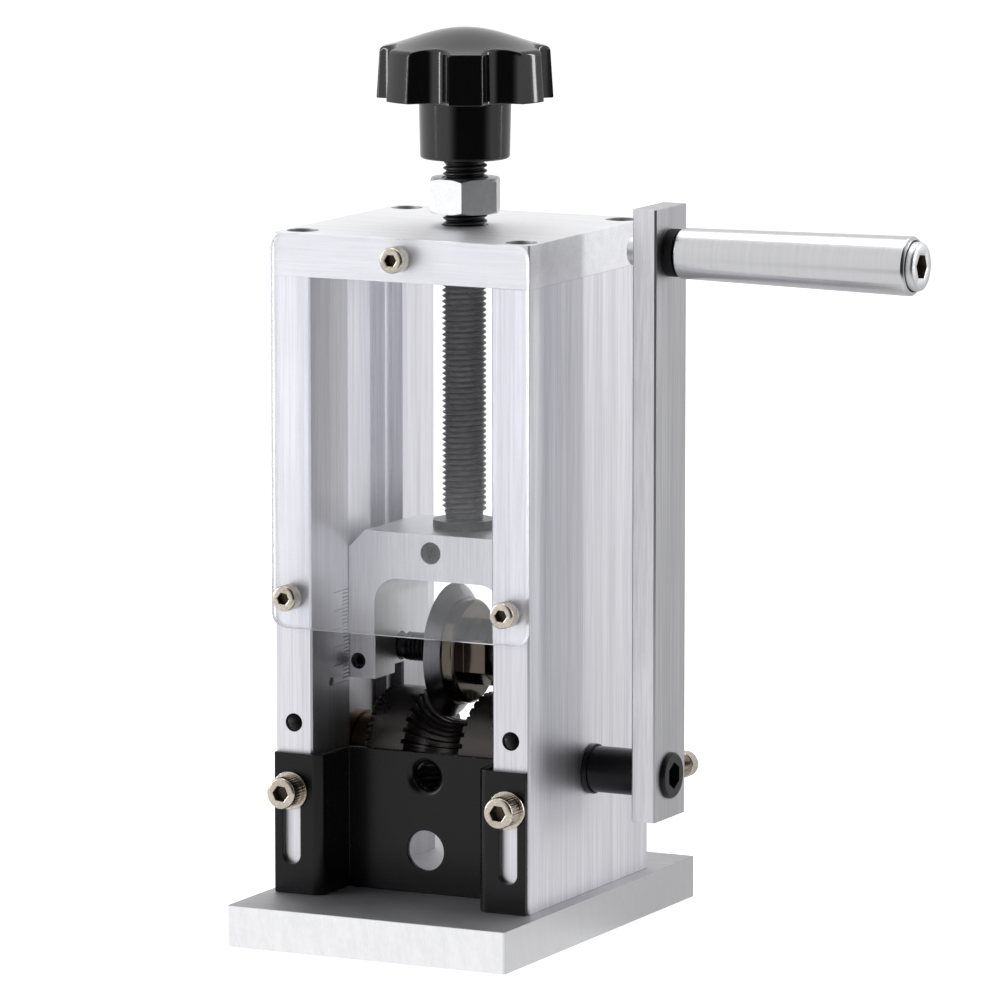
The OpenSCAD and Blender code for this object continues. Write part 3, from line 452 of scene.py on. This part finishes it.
def dress(work, name, node, second=None, sharp=32):
    """Makes the bmesh a piece that stands for one CAD node, rides with it and takes its finish."""
    mesh = bpy.data.meshes.new(name)
    work.normal_update()
    work.to_mesh(mesh)
    work.free()
    mesh.shade_smooth()
    mesh.set_sharp_from_angle(angle=math.radians(sharp))
    thing = bpy.data.objects.new(name, mesh)
    bpy.context.scene.collection.objects.link(thing)
    finish_name = NODE_FINISH[node]
    mesh.materials.append(MATERIALS[finish_name])
    if second:
        mesh.materials.append(MATERIALS[second])
    thing.modifiers.new("flat faces", "WEIGHTED_NORMAL").keep_sharp = True
    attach(thing, BODY_OF[node])
    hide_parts(node)
    SLOT_OF.get(finish_name, finish_name)


def refined(node, edge):
    """A bmesh of the CAD node with its sharp edges broken."""
    flat, sharp, segments = math.radians(0.4), math.radians(30), 2
    work = bmesh.new()
    work.from_mesh(frame["nodes"][node].data)
    bmesh.ops.remove_doubles(work, verts=work.verts, dist=WELD * MM)
    bmesh.ops.dissolve_limit(work, angle_limit=flat, use_dissolve_boundaries=False,
                             verts=work.verts, edges=work.edges, delimit=set())
    work.normal_update()
    edges = [e for e in work.edges if e.is_manifold and e.calc_face_angle() > sharp]
    bmesh.ops.bevel(work, geom=edges, offset=edge * MM, offset_type="OFFSET", segments=segments,
                    profile=0.5, affect="EDGES", clamp_overlap=True)
    return work


# Threads
THREAD_COLUMNS = 40
THREAD_SHAPE = ((0.06, 0.0), (0.42, 1.0), (0.58, 1.0), (0.94, 0.0))


def helix(crest, root, pitch, turns):
    """Rows of a right-hand thread that starts at 0 and fades in and out at its ends."""
    run_in, run_out, fade_turns, lead = 0.4, 0.1, 0.5, 0.1
    angles = circle(THREAD_COLUMNS, True)
    rows = [ring(angles, root, -pitch * lead)]
    for turn in range(turns):
        place = turn + angles / (2 * math.pi)
        fade = np.clip(np.minimum(place - run_in, turns - run_out - place) / fade_turns, 0, 1)
        for at, rise in THREAD_SHAPE:
            rows.append(ring(angles, root + (crest - root) * rise * fade, pitch * (place + at)))
    rows.append(ring(angles, root, pitch * (turns + 1 + lead)))
    return rows


def threaded(rows, before, after, move=None):
    """A rod with a thread: plain rings (radius, height) before and after it."""
    angles = circle(THREAD_COLUMNS, True)
    rows = [ring(angles, r, h) for r, h in before] + rows + [ring(angles, r, h) for r, h in after]
    work = bmesh.new()
    skin(work, [move(row) for row in rows] if move else rows, wrap=False, caps=False)
    bmesh.ops.remove_doubles(work, verts=work.verts, dist=WELD * MM)
    return work


def feed_screw():
    """The feed screw: foot in the carriage, neck for the retaining screw, thread, end in the knob."""
    middle_r, foot_r, neck_r, shoulder_r, knob_r = 0.3, 4.8, 3.9, 5.0, 4.9
    inset, foot_inset, foot_tall, shoulder, thread_up = 0.2, 0.1, 2.8, 0.3, 0.7
    crest, root, pitch = 5.98, 5.1, 1.5
    foot_z, end_z = box("feed_screw")[0][2] + foot_inset, box("feed_screw")[1][2] - inset
    neck_top, knob_z = box("screw_collar")[1][2] - inset, box("star_knob")[0][2] + inset
    foot_top, thread_z = foot_z + foot_tall, neck_top + thread_up
    turns = round((knob_z - thread_z) / pitch) - 1
    before = ((middle_r, foot_z), (foot_r, foot_z), (foot_r, foot_top), (neck_r, foot_top),
              (neck_r, neck_top), (shoulder_r, neck_top + shoulder))
    after = ((knob_r, knob_z), (knob_r, end_z), (middle_r, end_z))
    thread = [row + (0, 0, thread_z) for row in helix(crest, root, pitch, turns)]
    dress(threaded(thread, before, after), "feed_screw_fine", "feed_screw")


def cutter_axle():
    """The cutter's axle: a rod across the carriage with a thread for its lock nut."""
    half, rod_r, chamfer, middle_r = box("cutter_axle")[1][0], 4.0, 0.3, 0.3
    crest, root, pitch, turns, thread_x = 3.98, 3.45, 1.25, 7, -18.9
    relief_r, left_end, left_relief, right_relief, right_end = 3.4, -19.3, -19.2, -8.3, -8.1
    before = ((middle_r, -half), (rod_r - chamfer, -half), (rod_r, chamfer - half),
              (rod_r, left_end), (relief_r, left_relief))
    after = ((relief_r, right_relief), (rod_r, right_end),
             (rod_r, half - chamfer), (rod_r - chamfer, half), (middle_r, half))
    thread = [row + (0, 0, thread_x) for row in helix(crest, root, pitch, turns)]
    work = threaded(thread, before, after, lambda row: along_x(row) + (0, 0, AXLE_Z))
    dress(work, "cutter_axle_fine", "cutter_axle")


# Cap screws
HEAD_RIM = ((0.06, 0.4), (0.2, 0.15), (0.45, 0.0))
SOCKET_RIM = ((0.22, 0.0), (0.05, 0.06), (0.0, 0.22))


def hexagon(angles, across):
    """Radius of a hexagon of that size across flats, by angle."""
    return across / 2 / np.cos((angles + math.pi / 6) % (math.pi / 3) - math.pi / 6)


def cap_screw(work, move, thread, length, head, tall, across, deep, ridges=32, knurl=0.13):
    """A cap screw whose head's underside is at 0, drawn upwards: knurled head, hexagon socket."""
    middle_r, tip, under, under_tall, fade = 0.3, 0.4, 0.25, 0.2, 0.3
    knurl_low, knurl_high, knurl_end, drill_r, drill_tip = 0.55, 0.9, 0.6, 0.2, 0.35
    points_per_ridge, socket_rows = 6, 4
    angles = circle(ridges * points_per_ridge)
    ribs = knurl * (0.5 - 0.5 * np.cos(angles * ridges))
    flat = hexagon(angles, across)
    rows = [(middle_r, -length), (thread - tip, -length), (thread, tip - length), (thread, 0),
            (head - under, 0), (head - ribs * fade, under_tall), (head - ribs, knurl_low),
            (head - ribs, tall - knurl_high), (head - ribs * fade, tall - knurl_end)]
    rows += [(head - inset, tall - down) for inset, down in HEAD_RIM]
    rows += [(flat + wider, tall - down) for wider, down in SOCKET_RIM]
    rows += [(flat, tall - deep), (drill_r, tall - deep - drill_tip)]
    # The socket's last rows take the second, darker finish: painted shade in the socket.
    skin(work, [move(ring(angles, r, h)) for r, h in rows], second=len(rows) - socket_rows)


def screws(node, places, turn, **sizes):
    """The cap screws of a CAD node, each at its place and turned a little further than the last."""
    first_spin, next_spin = 0.4, 1.1
    work = bmesh.new()
    for i, place in enumerate(places):
        spin = first_spin + next_spin * i
        c, s = math.cos(spin), math.sin(spin)

        def move(points, place=place, c=c, s=s):
            x, y, z = points[..., 0], points[..., 1], points[..., 2]
            return turn(np.stack([x * c - y * s, x * s + y * c, z], -1)) + np.array(place)
        cap_screw(work, move, **sizes)
    dress(work, node + "_fine", node, "oily_shaded_socket", sharp=38)


def all_screws():
    """The nickel-plated screws that show: guard, wire guide, arm's clamp and handle."""
    under_head, low_up, high_down = 0.1, 8.6, 5.3
    guard_low, guard_high = box("guard_panel")
    guard_y, guard_low_z = guard_low[1] - under_head, guard_low[2] + low_up
    guard_high_z = guard_high[2] - high_down
    guide_y, guide_z = box("guide_washers")[0][1] - under_head, middle("guide_washers")[2]
    clamp = dict(thread=2.0, length=5.0, head=3.5, tall=4.0, across=3.0, deep=2.2)
    clamp_x, clamp_y = middle("crank_arm")[0], box("arm_clamp_screw")[1][1] - clamp["tall"]
    handle = dict(thread=3.95, length=75.8, head=6.5, tall=8.0, across=6.0, deep=4.0, ridges=40, knurl=0.0)
    handle_x = box("handle_bolt")[1][0] - handle["tall"]
    screws("guard_screws", ((-COLUMN_X, guard_y, guard_low_z), (COLUMN_X, guard_y, guard_low_z),
                            (0, guard_y, guard_high_z)), to_front, **{**clamp, "length": 8.0})
    screws("guide_screws", ((-COLUMN_X, guide_y, guide_z), (COLUMN_X, guide_y, guide_z)), to_front,
           thread=2.5, length=10.0, head=4.25, tall=5.0, across=4.0, deep=2.8)
    screws("arm_clamp_screw", ((clamp_x, clamp_y, SHAFT_Z),), to_back, **clamp)
    screws("handle_bolt", ((handle_x, 0, HANDLE_Z),), along_x, **handle)


# Larger pieces
def smaller(a, b, blend):
    """The smaller of two values, with a rounded change from one to the other."""
    mix = np.clip(0.5 + 0.5 * (b - a) / blend, 0, 1)
    return b + (a - b) * mix - blend * mix * (1 - mix)


def star_knob():
    """Seven lobes with rounded edges under a shallow dome, on a round hub."""
    hub_z = box("star_knob")[0][2]
    grip_z, rim_z = hub_z + 16.1, hub_z + 29.7
    bore_r, bore_up, hub_r, hub_round = 8.52, 1.5, 12.1, 0.8
    neck = ((12.4, 1.2), (12.6, 0.3), (13.0, 0.0))
    lobes, outer, draft, cut, cut_at, turn = 7, 23.75, 0.8, 6.4, 25.6, 27.2
    soft, beyond, under_r, under_in, under_round, top_round = 2.2, 4, 17, 2.5, 0.3, 1.5
    dome, dome_power, dome_rings, ring_power, points_per_lobe = 5.5, 1.8, 18, 1.05, 48
    quarter, fine_quarter = (0, 0.5, 1.05, 1.57), (0, 0.3, 0.6, 0.9, 1.2, 1.57)

    angles = circle(lobes * points_per_lobe)
    step = 2 * math.pi / lobes
    off = (angles - math.radians(turn - 90)) % step - step / 2
    inside = np.clip(cut ** 2 - (cut_at * np.sin(off)) ** 2, 0, None)
    bite = cut_at * np.cos(off) - np.sqrt(inside)

    def lobed(radius):
        return smaller(radius + angles * 0, np.where(inside > 0, bite, radius + beyond), soft)

    def dome_z(radius):
        return rim_z + dome * np.clip(1 - (radius / (outer + draft)) ** 2, 0, 1) ** dome_power

    def low_edge(radius, height, round_r, t):
        return ring(angles, radius - round_r * (1 - math.sin(t)), height + round_r * (1 - math.cos(t)))

    def top_edge(radius, height, round_r, t):
        return ring(angles, radius - round_r * (1 - math.cos(t)), height - round_r * (1 - math.sin(t)))

    rows = [ring(angles, bore_r, hub_z + bore_up), ring(angles, bore_r, hub_z)]
    rows += [low_edge(hub_r, hub_z, hub_round, t) for t in quarter]
    rows += [ring(angles, radius, grip_z - down) for radius, down in neck]
    rows += [ring(angles, np.minimum(lobed(outer) - under_in, under_r), grip_z)]
    rows += [low_edge(lobed(outer), grip_z, under_round, t) for t in quarter]
    top = lobed(outer - draft)
    rows += [top_edge(top, dome_z(top - top_round), top_round, t) for t in fine_quarter]
    for k in range(1, dome_rings):
        radius = (top - top_round) * (1 - k / dome_rings) ** ring_power
        rows.append(ring(angles, radius, dome_z(radius)))
    work = bmesh.new()
    work.faces.new(skin(work, rows, caps=False)[-1])
    dress(work, "star_knob_fine", "star_knob", sharp=50)


def feed_roller():
    """The roller: a round groove with slots across it, and notched rims."""
    low, high = box("feed_roller")
    radius, half, bore = (high[2] - low[2]) / 2, high[0], 6.6
    groove, groove_x, groove_half, groove_rows, centre = 8.3, -1.6, 9.3, 61, 18.455
    slots, slot_w, slot_r, slot_edge = 36, 1.1, 9.2, 0.16
    notches, notch_slope, notch_deep, rim_w, end_break, end_w, columns = 60, 1.6, 0.8, 1.8, 0.4, 0.2, 720
    end = half - np.array((0, 0, 0.4, 1.6, 2.0))
    across_groove = np.linspace(groove_x - groove_half, groove_x + groove_half, groove_rows)
    stations = np.concatenate([-end, across_groove, end[::-1]])
    angles = circle(columns)
    notch = np.clip(0.5 + notch_slope * np.cos(angles * notches), 0, 1)
    from_slot = np.abs((angles * slots / (2 * math.pi) + 0.5) % 1 - 0.5) * 2 * math.pi / slots
    rows = []
    for i, x in enumerate(stations):
        off = abs(x - groove_x)
        surface, floor = (min(radius, centre - math.sqrt(max(r ** 2 - off ** 2, 0)))
                          for r in (groove, slot_r))
        slot = np.clip((slot_w / 2 - surface * from_slot) / slot_edge + 0.5, 0, 1)
        rim = notch_deep * notch * (half - rim_w < abs(x))
        outline = surface - (surface - floor) * slot - rim - (end_break if abs(x) > half - end_w else 0)
        if i in (0, len(stations) - 1):
            outline = angles * 0 + bore
        rows.append(along_x(ring(angles, outline, x)) + (0, 0, SHAFT_Z))
    work = bmesh.new()
    skin(work, rows, caps=False)
    dress(work, "feed_roller_fine", "feed_roller")


def side_plates():
    """Side plates with threads in the open hole of each column's front; the thread takes a darker finish,
    painted shade in the hole.
    """
    edge, hole_up, inset, crest, root, pitch, turns = 0.2, 46.5, 0.15, 2.06, 2.46, 0.8, 13
    for node in ("left_side_plate", "right_side_plate"):
        work = refined(node, edge)
        place = np.array((middle(node)[0], FRONT_Y + inset, BASE_TOP + hole_up))
        rows = [to_back(row) + place for row in helix(crest, root, pitch, turns)]
        skin(work, rows, wrap=False, caps=False, second=0)
        dress(work, node + "_fine", node, "shaded_tapped_hole")


def guard():
    """The clear guard, a hair in front of the columns that it is screwed to."""
    edge, hair, sheet_half = 0.25, 0.06, 0.3
    back_y = box("guard_panel")[1][1]
    work = refined("guard_panel", edge)
    for vert in work.verts:
        if vert.co.y > (back_y - sheet_half) * MM:
            vert.co.y -= hair * MM
    dress(work, "guard_panel_fine", "guard_panel")


BROKEN_EDGES = {
    "base_plate": 0.35, "top_plate": 0.3, "carriage_block": 0.3, "crank_arm": 0.35, "guide_bracket": 0.3,
    "cutter_blade": 0.12, "cutter_hub": 0.3, "cutter_collar": 0.25, "axle_lock_nut": 0.2, "lock_nut": 0.25,
    "screw_collar": 0.3, "drive_shaft": 0.25, "shaft_collar": 0.2, "handle_spacer": 0.3,
    "handle_sleeve": 0.3, "guide_washers": 0.15, "screw_retainer": 0.15, "axle_set_screws": 0.15,
    "left_thrust_ring": 0.3, "right_thrust_ring": 0.3,
}
for node, edge in BROKEN_EDGES.items():
    dress(refined(node, edge), node + "_fine", node)
feed_roller()
side_plates()
guard()
star_knob()
feed_screw()
cutter_axle()
all_screws()


# Studio
CARD_WAY = (0.643, -0.766, 0.0)
BACK_WAY = (0.4446, 0.8957, 0.0)
WHITE = (1, 1, 1, 1)
PALE = (0.88, 0.88, 0.885, 1)
SKY = (0.95, 0.96, 1.0, 1)


def shade(t, way, dim):
    """Brightness of the surroundings in reflections: white, dimmer behind, a dark card at one side."""
    dark, bright, card, back, near_floor = 0.03, 0.95, (0.47, 0.86), (0.2, 0.9), (0.3, 0.6)
    level = t.vector("NORMALIZE", t.vector("MULTIPLY", way, (1, 1, 0)))
    on_card = t.vector("DOT_PRODUCT", level, CARD_WAY, out="Value").between(*card)
    behind = t.vector("DOT_PRODUCT", level, BACK_WAY, out="Value").between(*back)
    far = t.vector("LENGTH", way, out="Value").between(*near_floor)
    return dark + (1 - on_card * far) * (bright - behind * dim)


def by_ray(t, seen, mirrored, rest):
    """One shader for the camera and what glass lets through, one for mirror rays, one for the rest."""
    straight, glossy, through = (t.add("ShaderNodeLightPath", out=f"Is {kind} Ray")
                                 for kind in ("Camera", "Glossy", "Transmission"))
    return t.mix(straight.larger(through), t.mix(glossy, rest, mirrored), seen)


def floor():
    """A wide pale floor that keeps the part's shadow."""
    half, glow_strength, dim = 30, 0.6, 0.33
    white = bpy.data.materials.new("floor_white")
    t = Tree(white)
    dull = t.add("ShaderNodeBsdfDiffuse", None, {"Color": PALE})
    glow, bright, black = (t.add("ShaderNodeEmission", None, {"Color": WHITE, "Strength": strength})
                           for strength in (glow_strength, 1.0, 0.0))
    seen = t.add("ShaderNodeAddShader", None, {0: dull, 1: glow})
    mirrored = t.mix(shade(t, t.add("ShaderNodeTexCoord", out="Object"), dim), black, bright)
    t.add("ShaderNodeOutputMaterial", None, {"Surface": by_ray(t, seen, mirrored, dull)})
    mesh = bpy.data.meshes.new("floor")
    corners = [(-half, -half, 0), (half, -half, 0), (half, half, 0), (-half, half, 0)]
    mesh.from_pydata(corners, [], [range(4)])
    mesh.materials.append(white)
    thing = bpy.data.objects.new("floor", mesh)
    bpy.context.scene.collection.objects.link(thing)


def surroundings():
    """A white studio that gives soft light, and shows in metal with its dark card."""
    soft_strength, dim = 0.5, 0.12
    world = bpy.data.worlds.new("studio")
    bpy.context.scene.world = world
    t = Tree(world)
    soft, dark = (t.add("ShaderNodeBackground", None, {"Color": SKY, "Strength": strength})
                  for strength in (soft_strength, 0.0))
    bright = t.add("ShaderNodeBackground", None, {"Color": WHITE, "Strength": 1.0})
    mirrored = t.mix(shade(t, t.add("ShaderNodeTexCoord", out="Generated"), dim), dark, bright)
    t.add("ShaderNodeOutputWorld", None, {"Surface": by_ray(t, bright, mirrored, soft)})


def lamps():
    """Three soft boxes, aimed at the middle of the part. Places and sizes in metres, power in watts."""
    aim = Vector((0.02, 0, 0.11))
    for name, place, width, height, power in (("left box", (-1.3, -1.0, 0.45), 0.2, 1.1, 6),
                                              ("right box", (1.2, 1.05, 0.5), 0.18, 1.1, 5),
                                              ("top box", (-0.1, 0.3, 1.5), 1.2, 1.2, 9)):
        lamp = bpy.data.lights.new(name, "AREA")
        lamp.shape = "RECTANGLE"
        lamp.size, lamp.size_y, lamp.energy = width, height, power
        thing = bpy.data.objects.new(name, lamp)
        thing.location = place
        thing.rotation_euler = (aim - Vector(place)).to_track_quat("-Z", "Y").to_euler()
        bpy.context.scene.collection.objects.link(thing)


def camera():
    """The photograph's view: a long lens, to the right of the front and a little above."""
    place, down, round_right, lens, film = (0.950661, -1.894833, 0.430869), 8.466, 26.39, 285.61, 36
    data = bpy.data.cameras.new("camera")
    data.sensor_width, data.lens = film, lens
    data.clip_start, data.clip_end = 0.1, 100
    thing = bpy.data.objects.new("camera", data)
    thing.location = place
    thing.rotation_euler = (math.radians(90 - down), 0, math.radians(round_right))
    bpy.context.scene.collection.objects.link(thing)
    bpy.context.scene.camera = thing


floor()
surroundings()
lamps()
camera()
bpy.context.scene.view_settings.view_transform = "Standard"
